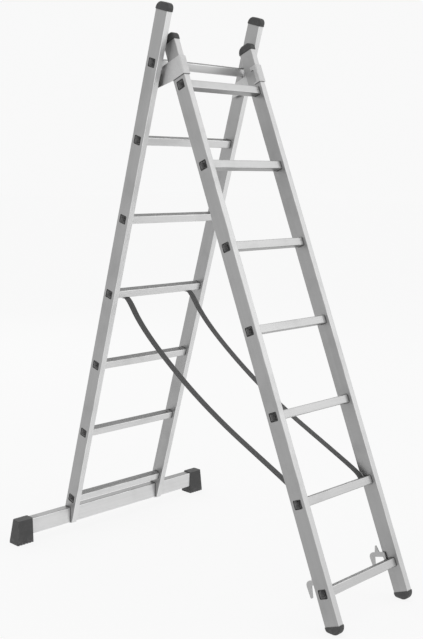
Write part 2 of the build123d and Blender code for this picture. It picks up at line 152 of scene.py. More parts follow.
class ShaderGraph(NodeGraph):
    """Node tree of one material, ending in a Principled shader.

    Attributes:
        material: the material.
        shader: its shader.
        output: its output node.
        place: socket of a point's place in the object's axes.
        facing: socket of the surface's direction in the object's axes.
        flat: socket of a point's place on the piece's UV map.
        edge_rays: rays that feel for an edge at each point.
        edge_limits: likeness of the rounded and the true direction between which an edge fades out.
        round_limits: largest part of a direction between which a round fades out.
        crease_rays: rays that feel for a corner at each point.
        crease_limits: share of open surroundings between which a corner fades out.
    """

    edge_rays: ClassVar[int] = 4
    edge_limits: ClassVar[Pair] = (0.80, 0.98)
    round_limits: ClassVar[Pair] = (0.75, 0.92)
    crease_rays: ClassVar[int] = 8
    crease_limits: ClassVar[Pair] = (0.5, 0.9)

    def __init__(self, name: str) -> None:
        """Start a tree that holds only its shader, its output and its coordinates.

        Args:
            name: name of the material.
        """
        self.material = bpy.data.materials.new(name)
        super().__init__(self.material)
        self.shader = self.node("ShaderNodeBsdfPrincipled")
        self.output = self.node("ShaderNodeOutputMaterial", {"Surface": self.shader.outputs["BSDF"]})
        coordinates = self.node("ShaderNodeTexCoord")
        self.place = coordinates.outputs["Object"]
        self.facing = coordinates.outputs["Normal"]
        self.flat = coordinates.outputs["UV"]

    def set(self, **inputs: Any) -> None:
        """Set the shader's inputs, each named with underscores for spaces, to a socket or a plain value."""
        for key, value in inputs.items():
            self.feed(self.shader.inputs[key.replace("_", " ")], value)

    def vary(self, level: Number, patterns: tuple[Socket, ...], shares: tuple[float, ...]) -> Number:
        """Vary a level with patterns, one after another.

        Args:
            level: level where every pattern is 0.5.
            patterns: patterns from 0 to 1.
            shares: share of the level that each whole pattern spans.

        Returns:
            The varied level.
        """
        for pattern, share in zip(patterns, shares):
            factor = self.calc("ADD", self.calc("MULTIPLY", pattern, share), 1.0 - share / 2)
            level = self.calc("MULTIPLY", factor, level)
        return level

    def ramp(self, value: Number, low: float, high: float, start: Number = 0.0, end: Number = 1.0) -> Socket:
        """Turn smoothly from a start level to an end level while a value goes from low to high."""
        inputs = dict(enumerate((value, low, high, start, end)))
        return self.node("ShaderNodeMapRange", inputs, interpolation_type="SMOOTHSTEP").outputs[0]

    def blend(self, share: Number, first: Number, second: Number) -> Socket:
        """Mix two levels, with a share of the second from 0 to 1."""
        return self.node("ShaderNodeMix", {0: share, 2: first, 3: second}, data_type="FLOAT").outputs[0]

    def scaled(self, level: Number, share: Socket, factor: float) -> Socket:
        """Scale a level by a factor where a share is 1, and not at all where it is 0."""
        return self.calc("MULTIPLY", level, self.blend(share, 1.0, factor))

    def turned(self, vector: Socket, lean: Lean) -> Socket:
        """Turn a place or a direction about X into the upright frame of a leaning section."""
        inputs = {"Vector": vector, "Angle": lean.value}
        return self.node("ShaderNodeVectorRotate", inputs, rotation_type="X_AXIS").outputs[0]

    def stretched(self, vector: Socket, scale: Triple) -> Socket:
        """Scale a place along each axis, which stretches a pattern along the axes with small factors."""
        return self.node("ShaderNodeVectorMath", {0: vector, 1: scale}, operation="MULTIPLY").outputs[0]

    def noise(self, vector: Socket, scale: float, detail: float = 2.0, rough: float = 0.5) -> Socket:
        """Cloudy pattern round 0.5: clouds in a metre, octaves of finer clouds and the strength of those."""
        inputs = {"Vector": vector, "Scale": scale, "Detail": detail, "Roughness": rough}
        return self.node("ShaderNodeTexNoise", inputs).outputs[0]

    def cells(self, vector: Socket, scale: float) -> Socket:
        """Patchwork of cells, so many in a metre, each with its own level from 0 to 1."""
        made = self.node("ShaderNodeTexVoronoi", {"Vector": vector, "Scale": scale})
        return self.parts(made.outputs["Color"])[0]

    def parts(self, vector: Socket) -> list[Socket]:
        """Take the X, Y and Z parts of a place or a direction."""
        return list(self.node("ShaderNodeSeparateXYZ", {0: vector}).outputs)

    def edges(self, width: float) -> Socket:
        """Find a piece's sharp edges, where its surface rounded off turns away from the surface itself.

        Args:
            width: width of the edge on each face, in metres.

        Returns:
            A socket that rises from 0 on a face to 1 at an edge.
        """
        rounded = self.node("ShaderNodeBevel", {"Radius": width}, samples=self.edge_rays)
        surface = self.node("ShaderNodeNewGeometry")
        inputs = {0: rounded.outputs[0], 1: surface.outputs["Normal"]}
        alike = self.node("ShaderNodeVectorMath", inputs, operation="DOT_PRODUCT")
        return self.ramp(alike.outputs["Value"], *self.edge_limits, 1.0, 0.0)

    def rounds(self) -> Socket:
        """Find a piece's rounded edges, where its surface faces between the axes.

        Returns:
            A socket that rises from 0 on a face to 1 on a round.
        """
        first, second, third = [self.calc("ABSOLUTE", part) for part in self.parts(self.facing)]
        largest = self.calc("MAXIMUM", self.calc("MAXIMUM", first, second), third)
        return self.ramp(largest, *self.round_limits, 1.0, 0.0)

    def creases(self, reach: float) -> Socket:
        """Find the corners where pieces meet, felt as far away as the reach: 0 in the open, 1 in a corner."""
        open_air = self.node("ShaderNodeAmbientOcclusion", {"Distance": reach}, samples=self.crease_rays)
        return self.ramp(open_air.outputs["AO"], *self.crease_limits, 1.0, 0.0)

    def relief(self, height: Socket, strength: float, depth: float) -> None:
        """Raise the fine relief of a height pattern by a share of a depth in metres."""
        made = self.node("ShaderNodeBump", {"Strength": strength, "Distance": depth, "Height": height})
        self.set(Normal=made.outputs[0])


@dataclass(frozen=True)
class Finish(ABC):
    """Look of a surface.

    Attributes:
        name: name of the finish's material.
        tone: grey level of the surface.
        rough: roughness of the surface.
        cloud_detail: octaves of finer clouds in a cloudy pattern, and their strength.
        tone_shares: share of the tone that each pattern on it spans.
        rough_shares: share of the roughness that each pattern on it spans.
        relief: share of the fine relief that shows, and its depth in metres.
    """

    name: str
    tone: float
    rough: float
    cloud_detail: ClassVar[Pair] = (4.0, 0.6)
    tone_shares: ClassVar[tuple[float, ...]]
    rough_shares: ClassVar[tuple[float, ...]]
    relief: ClassVar[Pair]

    @abstractmethod
    def paint(self, graph: ShaderGraph) -> Socket:
        """Set the shader of the finish's material, and find the height of its fine relief."""

    def dress(self, *pieces: Piece) -> None:
        """Put one material of this finish on each of the pieces.

        Args:
            pieces: objects that take it.
        """
        graph = ShaderGraph(self.name)
        graph.relief(self.paint(graph), *self.relief)
        for piece in pieces:
            piece.data.materials.clear()
            piece.data.materials.append(graph.material)
            LOG.info("%s: %s", piece.name, self.name)


@dataclass(frozen=True)
class WornMetal(Finish):
    """Metal, darker in its corners with grime and painted shade, and bright where it is rubbed.

    Attributes:
        bright: how much paler and smoother rubbed metal is.
        metal: share of the surface that reflects as bare metal.
        corner: how far the grime and painted shade spread from a corner, in metres.
        grime_and_shade: how much darker the grime and painted shade in a corner are.
    """

    bright: ClassVar[float]
    metal: ClassVar[float]
    corner: ClassVar[float]
    grime_and_shade: ClassVar[float]

    def wear(self, graph: ShaderGraph, tone: Number, rough: Number, rubbed: Socket) -> None:
        """Set the shader to the worn metal, with grime and painted shade darkening its corners.

        Args:
            graph: tree that takes the nodes.
            tone: grey level of the metal when new.
            rough: roughness of the metal when new.
            rubbed: share of rubbing, from 0 to 1.
        """
        # Grime and painted shade: ambient occlusion darkens the tone where pieces meet.
        tone = graph.scaled(tone, graph.creases(self.corner), 1.0 - self.grime_and_shade)
        graph.set(
            Base_Color=graph.scaled(tone, rubbed, 1.0 + self.bright),
            Roughness=graph.scaled(rough, rubbed, 1.0 - self.bright),
            Metallic=self.metal,
        )


@dataclass(frozen=True)
class DrawnAluminium(WornMetal):
    """Extruded aluminium: die lines along the tube, handling marks, rubbed corners, and painted shade that
    greys its web faces darker than its flanges.

    Attributes:
        web_painted_shade_tone: grey level of the tube's web faces, written darker than the flanges as painted
            shade.
        web: faces that are webs.
        lean: section whose lean the tube follows.
        polish: share by which feet have polished the middle of the upper face.
        lines: die lines in a metre across the tube.
        bands: broader bands in a metre across the tube.
        run: changes of a line in a metre along the tube.
        smudges: clouds of handling marks in a metre.
        smudge_limits: levels of the clouds between which a handling mark sets in.
        scrapes: patches of rubbed metal in a metre across the tube.
        scrape_run: patches of rubbed metal in a metre along the tube.
        scrape_limits: levels of the patches between which rubbed metal sets in.
        trodden: distances from the ladder's middle between which the polish fades.
        corner_limits: product of a direction's parts out of web and flange between which a corner sets in.
        upper_limits: upward part of a direction between which an upper face sets in.
        web_painted_shade_limits: part of a direction out of the web between which the painted shade of a web
            sets in.
    """

    web_painted_shade_tone: float
    web: Web
    lean: Lean
    polish: float = 0.0
    lines: ClassVar[float] = 1100.0
    bands: ClassVar[float] = 160.0
    run: ClassVar[float] = 2.5
    smudges: ClassVar[float] = 7.0
    smudge_limits: ClassVar[Pair] = (0.45, 0.75)
    scrapes: ClassVar[float] = 90.0
    scrape_run: ClassVar[float] = 14.0
    scrape_limits: ClassVar[Pair] = (0.35, 0.65)
    trodden: ClassVar[Pair] = (0.05, 0.15)
    corner_limits: ClassVar[Pair] = (0.15, 0.45)
    upper_limits: ClassVar[Pair] = (0.6, 0.9)
    web_painted_shade_limits: ClassVar[Pair] = (0.6, 0.85)
    tone_shares = (0.10, 0.12, -0.08)
    rough_shares = (0.25, 0.2)
    relief = (0.25, 0.00008)
    bright = 0.25
    metal = 0.85
    corner = 0.006
    grime_and_shade = 0.65

    def drawn(self, graph: ShaderGraph, place: Socket, scale: float, run: float) -> Socket:
        """Cloudy pattern pulled out along the tube.

        Args:
            graph: tree that takes the nodes.
            place: place in the upright frame.
            scale: clouds in a metre across the tube.
            run: clouds in a metre along the tube.

        Returns:
            The pattern's socket.
        """
        along_x = self.web is Web.TOP_AND_BOTTOM
        factors = (run, scale, scale) if along_x else (scale, scale, run)
        return graph.noise(graph.stretched(place, factors), 1.0)

    def rubbed(self, graph: ShaderGraph, place: Socket, facing: dict[str, Socket]) -> Socket:
        """Find the rubbed metal: the tube's corners, and the middle of a rung's upper face.

        Args:
            graph: tree that takes the nodes.
            place: place in the upright frame.
            facing: parts of the surface's direction in the upright frame.

        Returns:
            A socket from 0 on untouched metal to 1 on rubbed metal.
        """
        out_of_web, out_of_flange = [graph.calc("ABSOLUTE", facing[axis]) for axis in self.web.value]
        rubbed = graph.ramp(graph.calc("MULTIPLY", out_of_web, out_of_flange), *self.corner_limits)
        if self.polish:
            middle = graph.ramp(graph.calc("ABSOLUTE", graph.parts(place)[0]), *self.trodden, 1.0, 0.0)
            upper = graph.ramp(facing["Z"], *self.upper_limits, 0.0, self.polish)
            rubbed = graph.calc("MAXIMUM", rubbed, graph.calc("MULTIPLY", middle, upper))
        scrapes = self.drawn(graph, place, self.scrapes, self.scrape_run)
        return graph.calc("MULTIPLY", rubbed, graph.ramp(scrapes, *self.scrape_limits))

    def paint(self, graph: ShaderGraph) -> Socket:
        """Die lines stretched along the tube vary tone, roughness and relief, rubbing brightens it, and
        painted shade darkens its web faces.

        Args:
            graph: tree of the material.

        Returns:
            The relief's height.
        """
        place = graph.turned(graph.place, self.lean)
        facing = dict(zip("XYZ", graph.parts(graph.turned(graph.facing, self.lean))))
        lines = self.drawn(graph, place, self.lines, self.run)
        bands = self.drawn(graph, place, self.bands, self.run)
        smudge = graph.ramp(graph.noise(place, self.smudges, *self.cloud_detail), *self.smudge_limits)
        # Painted shade: the web faces take a darker grey than the flanges, standing in for the shade on faces
        # turned from the light.
        web = graph.ramp(graph.calc("ABSOLUTE", facing[self.web.value[0]]), *self.web_painted_shade_limits)
        tone = graph.blend(web, self.tone, self.web_painted_shade_tone)
        tone = graph.vary(tone, (lines, bands, smudge), self.tone_shares)
        rough = graph.vary(self.rough, (lines, smudge), self.rough_shares)
        self.wear(graph, tone, rough, self.rubbed(graph, place, facing))
        return lines


@dataclass(frozen=True)
class RolledEnd(Finish):
    """Rung end rolled over in a press: the roll dark with burnt grease, its crown rubbed, the inside dull.

    Attributes:
        inside_tone: grey level of the dull metal inside the rung.
        specks: specks of grease in a metre.
        clouds: clouds of duller metal in a metre.
        bright: grey level of the rubbed crown.
        metal: shares of the inside and of the roll that reflect as bare metal.
        roll_limits: part of a direction across the ladder between which the roll sets in.
        crown_limits: part of a direction across the ladder between which the roll's crown sets in.
        rub_limits: levels of the clouds between which rubbing sets in.
    """

    inside_tone: float
    specks: ClassVar[float] = 900.0
    clouds: ClassVar[float] = 90.0
    bright: ClassVar[float] = 0.20
    metal: ClassVar[Pair] = (0.1, 0.6)
    roll_limits: ClassVar[Pair] = (0.05, 0.25)
    crown_limits: ClassVar[Pair] = (0.85, 1.0)
    rub_limits: ClassVar[Pair] = (0.5, 0.7)
    tone_shares = (0.3, 0.15)
    rough_shares = (0.3,)
    relief = (0.3, 0.00006)

    def paint(self, graph: ShaderGraph) -> Socket:
        """The direction across the ladder parts the roll from the inside, and clouds rub the roll's crown.

        Args:
            graph: tree of the material.

        Returns:
            The relief's height.
        """
        speck = graph.noise(graph.place, self.specks)
        cloud = graph.noise(graph.place, self.clouds, *self.cloud_detail)
        outward = graph.calc("ABSOLUTE", graph.parts(graph.facing)[0])
        roll = graph.ramp(outward, *self.roll_limits)
        rubbed = graph.ramp(cloud, *self.rub_limits)
        crown = graph.calc("MULTIPLY", graph.ramp(outward, *self.crown_limits), rubbed)
        tone = graph.blend(roll, self.inside_tone, graph.blend(crown, self.tone, self.bright))
        graph.set(
            Base_Color=graph.vary(tone, (cloud, speck), self.tone_shares),
            Roughness=graph.vary(self.rough, (cloud,), self.rough_shares),
            Metallic=graph.blend(roll, *self.metal),
        )
        return speck


@dataclass(frozen=True)
class PlatedSteel(WornMetal):
    """Zinc-plated steel: a faint patchwork of zinc crystals, fine scratches and edges rubbed bright.

    Attributes:
        crystals: crystals in a metre.
        scratches: changes of a scratch in a metre along each axis.
        clouds: clouds of duller zinc in a metre.
        edge: width of the rubbed edges.
        rub_limits: levels of the clouds between which rubbing sets in.
    """

    crystals: float = 260.0
    scratches: ClassVar[Triple] = (40.0, 900.0, 700.0)
    clouds: ClassVar[float] = 25.0
    edge: ClassVar[float] = 0.0012
    rub_limits: ClassVar[Pair] = (0.3, 0.6)
    tone_shares = (0.08, 0.16)
    rough_shares = (0.3, 0.3)
    relief = (0.2, 0.00005)
    bright = 0.3
    metal = 0.9
    corner = 0.004
    grime_and_shade = 0.6

    def paint(self, graph: ShaderGraph) -> Socket:
        """Cells vary the tone, scratches vary roughness and relief, and broken edges brighten it.

        Args:
            graph: tree of the material.

        Returns:
            The relief's height.
        """
        crystal = graph.cells(graph.place, self.crystals)
        scratch = graph.noise(graph.stretched(graph.place, self.scratches), 1.0)
        cloud = graph.noise(graph.place, self.clouds, *self.cloud_detail)
        rubbed = graph.calc("MULTIPLY", graph.edges(self.edge), graph.ramp(cloud, *self.rub_limits))
        tone = graph.vary(self.tone, (crystal, cloud), self.tone_shares)
        rough = graph.vary(self.rough, (scratch, cloud), self.rough_shares)
        self.wear(graph, tone, rough, rubbed)
        return scratch


@dataclass(frozen=True)
class MouldedPlastic(Finish):
    """Moulded plastic with a fine spark-eroded grain, scuffed most on its crown and its edges.

    Attributes:
        scuff_tone: grey level of a scuff.
        grain: grains in a metre.
        clouds: clouds of scuffs in a metre.
        edge: width of the scuffed edges.
        scuff_limits: levels of the clouds between which a scuff sets in.
        crown_limits: upward part of a direction between which the crown sets in.
        crown_shares: shares of the scuffs that show below the crown and on it.
    """

    scuff_tone: float
    grain: float = 1500.0
    clouds: ClassVar[float] = 45.0
    edge: ClassVar[float] = 0.0015
    scuff_limits: ClassVar[Pair] = (0.5, 0.74)
    crown_limits: ClassVar[Pair] = (0.5, 0.95)
    crown_shares: ClassVar[Pair] = (0.4, 0.8)
    cloud_detail = (5.0, 0.65)
    tone_shares = (0.3,)
    rough_shares = (0.3,)
    relief = (0.35, 0.00015)

    def paint(self, graph: ShaderGraph) -> Socket:
        """Grain raises the relief, and clouds above a limit mix in scuffs.

        Args:
            graph: tree of the material.

        Returns:
            The relief's height.
        """
        grain = graph.noise(graph.place, self.grain)
        cloud = graph.noise(graph.place, self.clouds, *self.cloud_detail)
        crown = graph.ramp(graph.parts(graph.facing)[2], *self.crown_limits, *self.crown_shares)
        worn = graph.calc("MAXIMUM", crown, graph.edges(self.edge))
        scuff = graph.calc("MULTIPLY", graph.ramp(cloud, *self.scuff_limits), worn)
        clean = graph.vary(self.tone, (grain,), self.tone_shares)
        graph.set(
            Base_Color=graph.blend(scuff, clean, self.scuff_tone),
            Roughness=graph.vary(self.rough, (cloud,), self.rough_shares),
        )
        return grain


@dataclass(frozen=True)
class WornRubber(Finish):
    """Moulded rubber, dusty where it stands on the floor and scuffed along its edges.

    Attributes:
        dust_tone: grey level of the dust.
        dust_height: height above the floor up to which dust clings, in metres.
        high_dust: share of the dust that clings above that height.
        dust_limits: levels of the clouds between which dust sets in.
        dust_cover: share of the rubber that full dust hides.
        clouds: clouds of dust in a metre.
        cloud_relief: height of the clouds as a share of the grain's.
        grain: grains in a metre.
        edge: width of the scuffed edges.
    """

    dust_tone: float
    dust_height: float
    high_dust: ClassVar[float] = 0.25
    dust_limits: ClassVar[Pair] = (0.40, 0.68)
    dust_cover: ClassVar[float] = 0.7
    clouds: ClassVar[float] = 70.0
    cloud_relief: ClassVar[float] = 0.5
    grain: ClassVar[float] = 900.0
    edge: ClassVar[float] = 0.003
    cloud_detail = (5.0, 0.65)
    tone_shares = (0.3,)
    rough_shares = (0.25,)
    relief = (0.4, 0.0002)

    def paint(self, graph: ShaderGraph) -> Socket:
        """Height above the floor, edges and clouds mix in dust, and grain raises the relief.

        Args:
            graph: tree of the material.

        Returns:
            The relief's height.
        """
        cloud = graph.noise(graph.place, self.clouds, *self.cloud_detail)
        grain = graph.noise(graph.place, self.grain)
        low = graph.ramp(graph.parts(graph.place)[2], 0.0, self.dust_height, 1.0, self.high_dust)
        edges = graph.calc("MAXIMUM", graph.edges(self.edge), graph.rounds())
        cover = graph.ramp(cloud, *self.dust_limits, 0.0, self.dust_cover)
        dust = graph.calc("MULTIPLY", graph.calc("MAXIMUM", low, edges), cover)
        clean = graph.vary(self.tone, (grain,), self.tone_shares)
        graph.set(
            Base_Color=graph.blend(dust, clean, self.dust_tone),
            Roughness=graph.vary(self.rough, (cloud,), self.rough_shares),
        )
        return graph.calc("ADD", grain, graph.calc("MULTIPLY", cloud, self.cloud_relief))


@dataclass(frozen=True)
class WovenWebbing(Finish):
    """Woven webbing: cords along its length, crossed by picks, with a little fuzz.

    Attributes:
        pick: distance from pick to pick, in metres.
        cord: distance from cord to cord, in metres.
        far: even number of cords that keeps the cords' count above zero.
        floor: level under the waves of the picks and of the cords.
        weave_limits: levels of the weave between which it turns from valley to crown.
        weave_tones: shares of the tone in the weave's valleys and on its crowns.
        fuzz: tufts of fuzz in a metre.
        fuzz_detail: octaves of finer fuzz.
        fuzz_relief: height of the fuzz as a share of the weave's.
        sheen: strength of the threads' sheen.
        sheen_rough: roughness of the sheen.
    """

    pick: float
    cord: float
    far: ClassVar[float] = 64.0
    floor: ClassVar[float] = 0.4
    weave_limits: ClassVar[Pair] = (0.1, 1.6)
    weave_tones: ClassVar[Pair] = (0.55, 1.35)
    fuzz: ClassVar[float] = 1200.0
    fuzz_detail: ClassVar[float] = 3.0
    fuzz_relief: ClassVar[float] = 0.3
    sheen: ClassVar[float] = 0.25
    sheen_rough: ClassVar[float] = 0.5
    tone_shares = (0.4,)
    relief = (0.6, 0.0003)

    def wave(self, graph: ShaderGraph, place: Socket, pitch: float) -> Socket:
        """Wave along a length in metres, one to each pitch, from the floor's level to 1 above it."""
        swing = graph.calc("SINE", graph.calc("MULTIPLY", place, 2 * pi / pitch))
        return graph.calc("ADD", graph.calc("MULTIPLY", swing, 0.5), 0.5 + self.floor)

    def paint(self, graph: ShaderGraph) -> Socket:
        """Picks along V step by half a pitch from one cord along U to the next, as in a plain weave.

        Args:
            graph: tree of the material.

        Returns:
            The relief's height.
        """
        across, along, _ = graph.parts(graph.flat)
        number = graph.calc("ADD", graph.calc("FLOOR", graph.calc("DIVIDE", across, self.cord)), self.far)
        shift = graph.calc("MULTIPLY", graph.calc("MODULO", number, 2.0), self.pick / 2)
        picks = self.wave(graph, graph.calc("ADD", along, shift), self.pick)
        weave = graph.calc("MULTIPLY", picks, self.wave(graph, across, self.cord))
        fuzz = graph.noise(graph.place, self.fuzz, self.fuzz_detail)
        valley, crown = [self.tone * share for share in self.weave_tones]
        tone = graph.ramp(weave, *self.weave_limits, valley, crown)
        graph.set(
            Base_Color=graph.vary(tone, (fuzz,), self.tone_shares),
            Roughness=self.rough,
            Sheen_Weight=self.sheen,
            Sheen_Roughness=self.sheen_rough,
        )
        return graph.calc("ADD", weave, graph.calc("MULTIPLY", fuzz, self.fuzz_relief))


# The webs' tones below are painted shade: written darker than the flanges' tones, where the real tube is one
# grey all round.
BASE_STILE = DrawnAluminium(
    "base stile aluminium", tone=0.74, rough=0.40, web_painted_shade_tone=0.375, web=Web.SIDES, lean=Lean.BASE
)
# Painted light: the base stiles and rungs are written paler (0.74, 0.70) than the front ones (0.59, 0.54)
# because the base section's faces tilt towards the floor and get less of the lamps' light; both are the same
# aluminium.
FRONT_STILE = replace(BASE_STILE, name="front stile aluminium", tone=0.59, lean=Lean.FRONT)
BLOCK = replace(BASE_STILE, name="nut block aluminium", tone=0.55, rough=0.45, web_painted_shade_tone=0.45)
BAR = DrawnAluminium(
    "stabiliser bar aluminium",
    tone=0.73,
    rough=0.40,
    web_painted_shade_tone=0.28,
    web=Web.TOP_AND_BOTTOM,
    lean=Lean.UPRIGHT,
)
BASE_RUNG = replace(
    BAR, name="base rung aluminium", tone=0.70, rough=0.38, web_painted_shade_tone=0.32, lean=Lean.BASE, polish=0.6
)
FRONT_RUNG = replace(BASE_RUNG, name="front rung aluminium", tone=0.54, lean=Lean.FRONT)
RIM = RolledEnd("rolled rung end", tone=0.03, rough=0.50, inside_tone=0.42)
BRACKET = PlatedSteel("bracket steel", tone=0.56, rough=0.40)
HOOK = PlatedSteel("hook steel", tone=0.46, rough=0.38)
CLAMP = PlatedSteel("clamp steel", tone=0.52, rough=0.38)
FASTENER = PlatedSteel("fastener steel", tone=0.50, rough=0.34, crystals=420.0)
CAP = MouldedPlastic("cap plastic", tone=0.050, rough=0.50, scuff_tone=0.12)
NYLON = MouldedPlastic("bush nylon", tone=0.60, rough=0.42, scuff_tone=0.52, grain=700.0)
BOOT = WornRubber("boot rubber", tone=0.068, rough=0.66, dust_tone=0.16, dust_height=0.03)
FOOT = WornRubber("foot rubber", tone=0.066, rough=0.66, dust_tone=0.16, dust_height=0.025)
WEBBING = WovenWebbing("strap webbing", tone=0.085, rough=0.80, pick=0.0028, cord=0.0021)


def nodes_named(*starts: str) -> list[Piece]:
    """Find the frame's nodes whose names start in one of the given ways, sorted by name."""
    return [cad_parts[name] for name in sorted(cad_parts) if name.startswith(starts)]


def new_mesh(name: str, points: np.ndarray, faces: list[list[int]]) -> Piece:
    """Make a mesh object in the scene, smooth but for its sharp edges.

    Args:
        name: name of the piece.
        points: places of its vertices, one row each.
        faces: vertex numbers of each face.

    Returns:
        The new object.
    """
    mesh = bpy.data.meshes.new(name)
    mesh.from_pydata(points.tolist(), [], faces)
    mesh.polygons.foreach_set("use_smooth", np.ones(len(mesh.polygons), bool))
    mesh.set_sharp_from_angle(angle=SHARP_ANGLE)
    mesh.update()
    piece = bpy.data.objects.new(name, mesh)
    bpy.context.scene.collection.objects.link(piece)
    LOG.info("%s: %d faces", name, len(faces))
    return piece


def grid_quads(rows: int, columns: int, ring: bool) -> np.ndarray:
    """Number the corners of a grid of quads, each of whose rows closes into a loop.

    A point's number is its row times the points in a row, plus its column.

    Args:
        rows: rows of points.
        columns: points in a row.
        ring: whether the last row joins the first.

    Returns:
        Four point numbers for each quad, one row each.
    """
    row, column = np.meshgrid(np.arange(rows if ring else rows - 1), np.arange(columns), indexing="ij")
    below, after = (row + 1) % rows, (column + 1) % columns
    corners = ((row, column), (row, after), (below, after), (below, column))
    return np.stack([down * columns + along for down, along in corners], -1).reshape(-1, 4)


@dataclass
class Assembly:
    """Group of pieces that are built and dressed together.

    Attributes:
        finishes: each finish, with the first letters of the names of the frame's nodes that take it.
        own_finish: finish of the pieces that are built.
    """

    finishes: ClassVar[dict[Finish, tuple[str, ...]]]
    own_finish: ClassVar[Finish]

    def build(self) -> list[Piece]:
        """Build the pieces that the frame's nodes don't show."""
        return []

    def dress(self, pieces: list[Piece]) -> None:
        """Give the frame's nodes and the built pieces their finishes.

        Args:
            pieces: pieces that were built.
        """
        for finish, starts in self.finishes.items():
            finish.dress(*nodes_named(*starts))
        if pieces:
            self.own_finish.dress(*pieces)


@dataclass
class Section(Assembly):
    """One section of the ladder, whose rungs' ends are rolled over against its stiles.

    Attributes:
        body: body of the section, and the first word of its nodes' names.
        lean: lean of the section.
        rungs: number of rungs.
        rung_depth: size of a rung from front to back.
        rung_height: size of a rung along the stiles.
        rung_corner: radius of a rung's corners.
        rung_wall: thickness of a rung's wall.
        rung_proud: how far a rung's end stands out of the stile.
        rim_spread: how far a rolled rim reaches outside the rung's outline.
        rim_height: how far a rim stands out of the stile.
        rim_foot: how deep a rim's foot is set into the stile's wall.
        lining_depth: how far the rolled end's lining goes into the rung.
        lining_skin: how far the lining stands off the rung's wall.
        corner_points: points round each corner of the outline.
        roll_points: points over a rim's roll.
    """

    body: str
    lean: Lean
    rungs: int = 7
    rung_depth: float = 0.030
    rung_height: float = 0.028
    rung_corner: float = 0.003
    rung_wall: float = 0.0015
    rung_proud: float = 0.0006
    rim_spread: float = 0.0010
    rim_height: float = 0.0013
    rim_foot: float = 0.0005
    lining_depth: float = 0.045
    lining_skin: float = 0.0012
    corner_points: ClassVar[int] = 7
    roll_points: ClassVar[int] = 11
    own_finish = RIM

    def outline(self) -> tuple[np.ndarray, np.ndarray]:
        """Outline of a rung's end, and the direction out of it at each point.

        Each corner is a quarter circle: its centre plus the corner's radius times the direction out.

        Returns:
            (back, up) points and directions, one row each.
        """
        quarter = np.arange(4)[:, None] * pi / 2
        turn = quarter + np.linspace(0.0, pi / 2, self.corner_points)
        out = np.stack((np.cos(turn), np.sin(turn)), -1)
        middle = quarter + pi / 4
        inset = np.array((self.rung_depth, self.rung_height)) / 2 - self.rung_corner
        centre = np.sign(np.stack((np.cos(middle), np.sin(middle)), -1)) * inset
        return (centre + self.rung_corner * out).reshape(-1, 2), out.reshape(-1, 2)

    def profile(self) -> tuple[np.ndarray, np.ndarray]:
        """Section of a rolled end: a roll over the rung's end, a lining inside and a foot in the stile.

        The roll is half an oval: its spread is its middle plus half its width times the cosine of the turn,
        and its rise is its height times the sine. The lining and the foot are straight runs that close it.

        Returns:
            Each point's spread out of the rung's outline, and its rise out of the stile's face.
        """
        turn = np.linspace(0.0, pi, self.roll_points)
        inside = -self.rung_wall - self.lining_skin
        buried = inside + 2 * self.lining_skin
        half = (self.rim_spread - inside) / 2
        roll = inside + half + half * np.cos(turn)
        spreads = (inside, inside, buried, buried, self.rim_spread)
        depths = (self.rim_foot, self.lining_depth, self.lining_depth, self.rim_foot, self.rim_foot)
        return np.append(roll, spreads), np.append(self.rim_height * np.sin(turn), np.negative(depths))

    def rim(self, face: float) -> np.ndarray:
        """Carry a rolled end's section round the right-hand end of a rung.

        In the rung's plane a point is the outline's point moved out by the section's spread. Across the
        ladder it is the section's rise out of the stile's face.

        Args:
            face: distance of the stile's face from the ladder's middle.

        Returns:
            Points round the outline and round the section, from the rung's axis.
        """
        outline, out = self.outline()
        spread, height = self.profile()
        flat = outline[:, None] + out[:, None] * spread[:, None]
        rise = face + height
        angle = -self.lean.value
        back = np.array((0.0, cos(angle), sin(angle)))
        up = np.array((0.0, -sin(angle), cos(angle)))
        return rise[:, None] * ACROSS + flat[..., :1] * back + flat[..., 1:] * up

    def build(self) -> list[Piece]:
        """Put a rim at both ends of every rung.

        A rim's points are its rung's middle plus those of the right-hand end, with X reversed on the left.

        Returns:
            The section's rims, as one piece.
        """
        boxes = np.array([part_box(f"{self.body}_rung_{number}") for number in range(1, self.rungs + 1)])
        right = self.rim(boxes[0, 1, 0] - self.rung_proud)
        ends = np.stack((right, right * (-1.0, 1.0, 1.0)))
        points = boxes.mean(axis=1)[:, None, None, None] + ends
        quads = grid_quads(*right.shape[:2], ring=True)
        count = right.size // 3
        pair = np.concatenate((quads[:, ::-1], quads + count))
        faces = pair + 2 * count * np.arange(self.rungs)[:, None, None]
        piece = new_mesh(f"{self.body}_rung_rims", points.reshape(-1, 3), faces.reshape(-1, 4).tolist())
        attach(piece, self.body)
        return [piece]


@dataclass
class BaseSection(Section):
    """Rear section: stiles, rungs and caps."""

    body: str = "base"
    lean: Lean = Lean.BASE
    finishes = {BASE_STILE: ("base_stile",), BASE_RUNG: ("base_rung",), CAP: ("base_cap",)}


@dataclass
class FrontSection(Section):
    """Front section: stiles, rungs, caps, feet, brackets and hooks."""

    body: str = "front"
    lean: Lean = Lean.FRONT
    finishes = {
        FRONT_STILE: ("front_stile",),
        FRONT_RUNG: ("front_rung",),
        CAP: ("front_cap",),
        FOOT: ("front_foot",),
        BRACKET: ("bracket",),
        HOOK: ("hook",),
    }


@dataclass
class Stabiliser(Assembly):
    """Bar across the rear section's foot, with its boots, nut blocks, bolts and washers."""

    finishes = {
        BAR: ("stabiliser_bar",),
        BOOT: ("stabiliser_boot",),
        BLOCK: ("stabiliser_nut_block",),
        FASTENER: ("stabiliser_bolts", "stabiliser_washers"),
    }


@dataclass
class Pivot(Assembly):
    """Bolts, inserts and bushes that the sections turn on."""

    finishes = {FASTENER: ("pivot_bolt", "pivot_insert"), NYLON: ("pivot_bush",)}


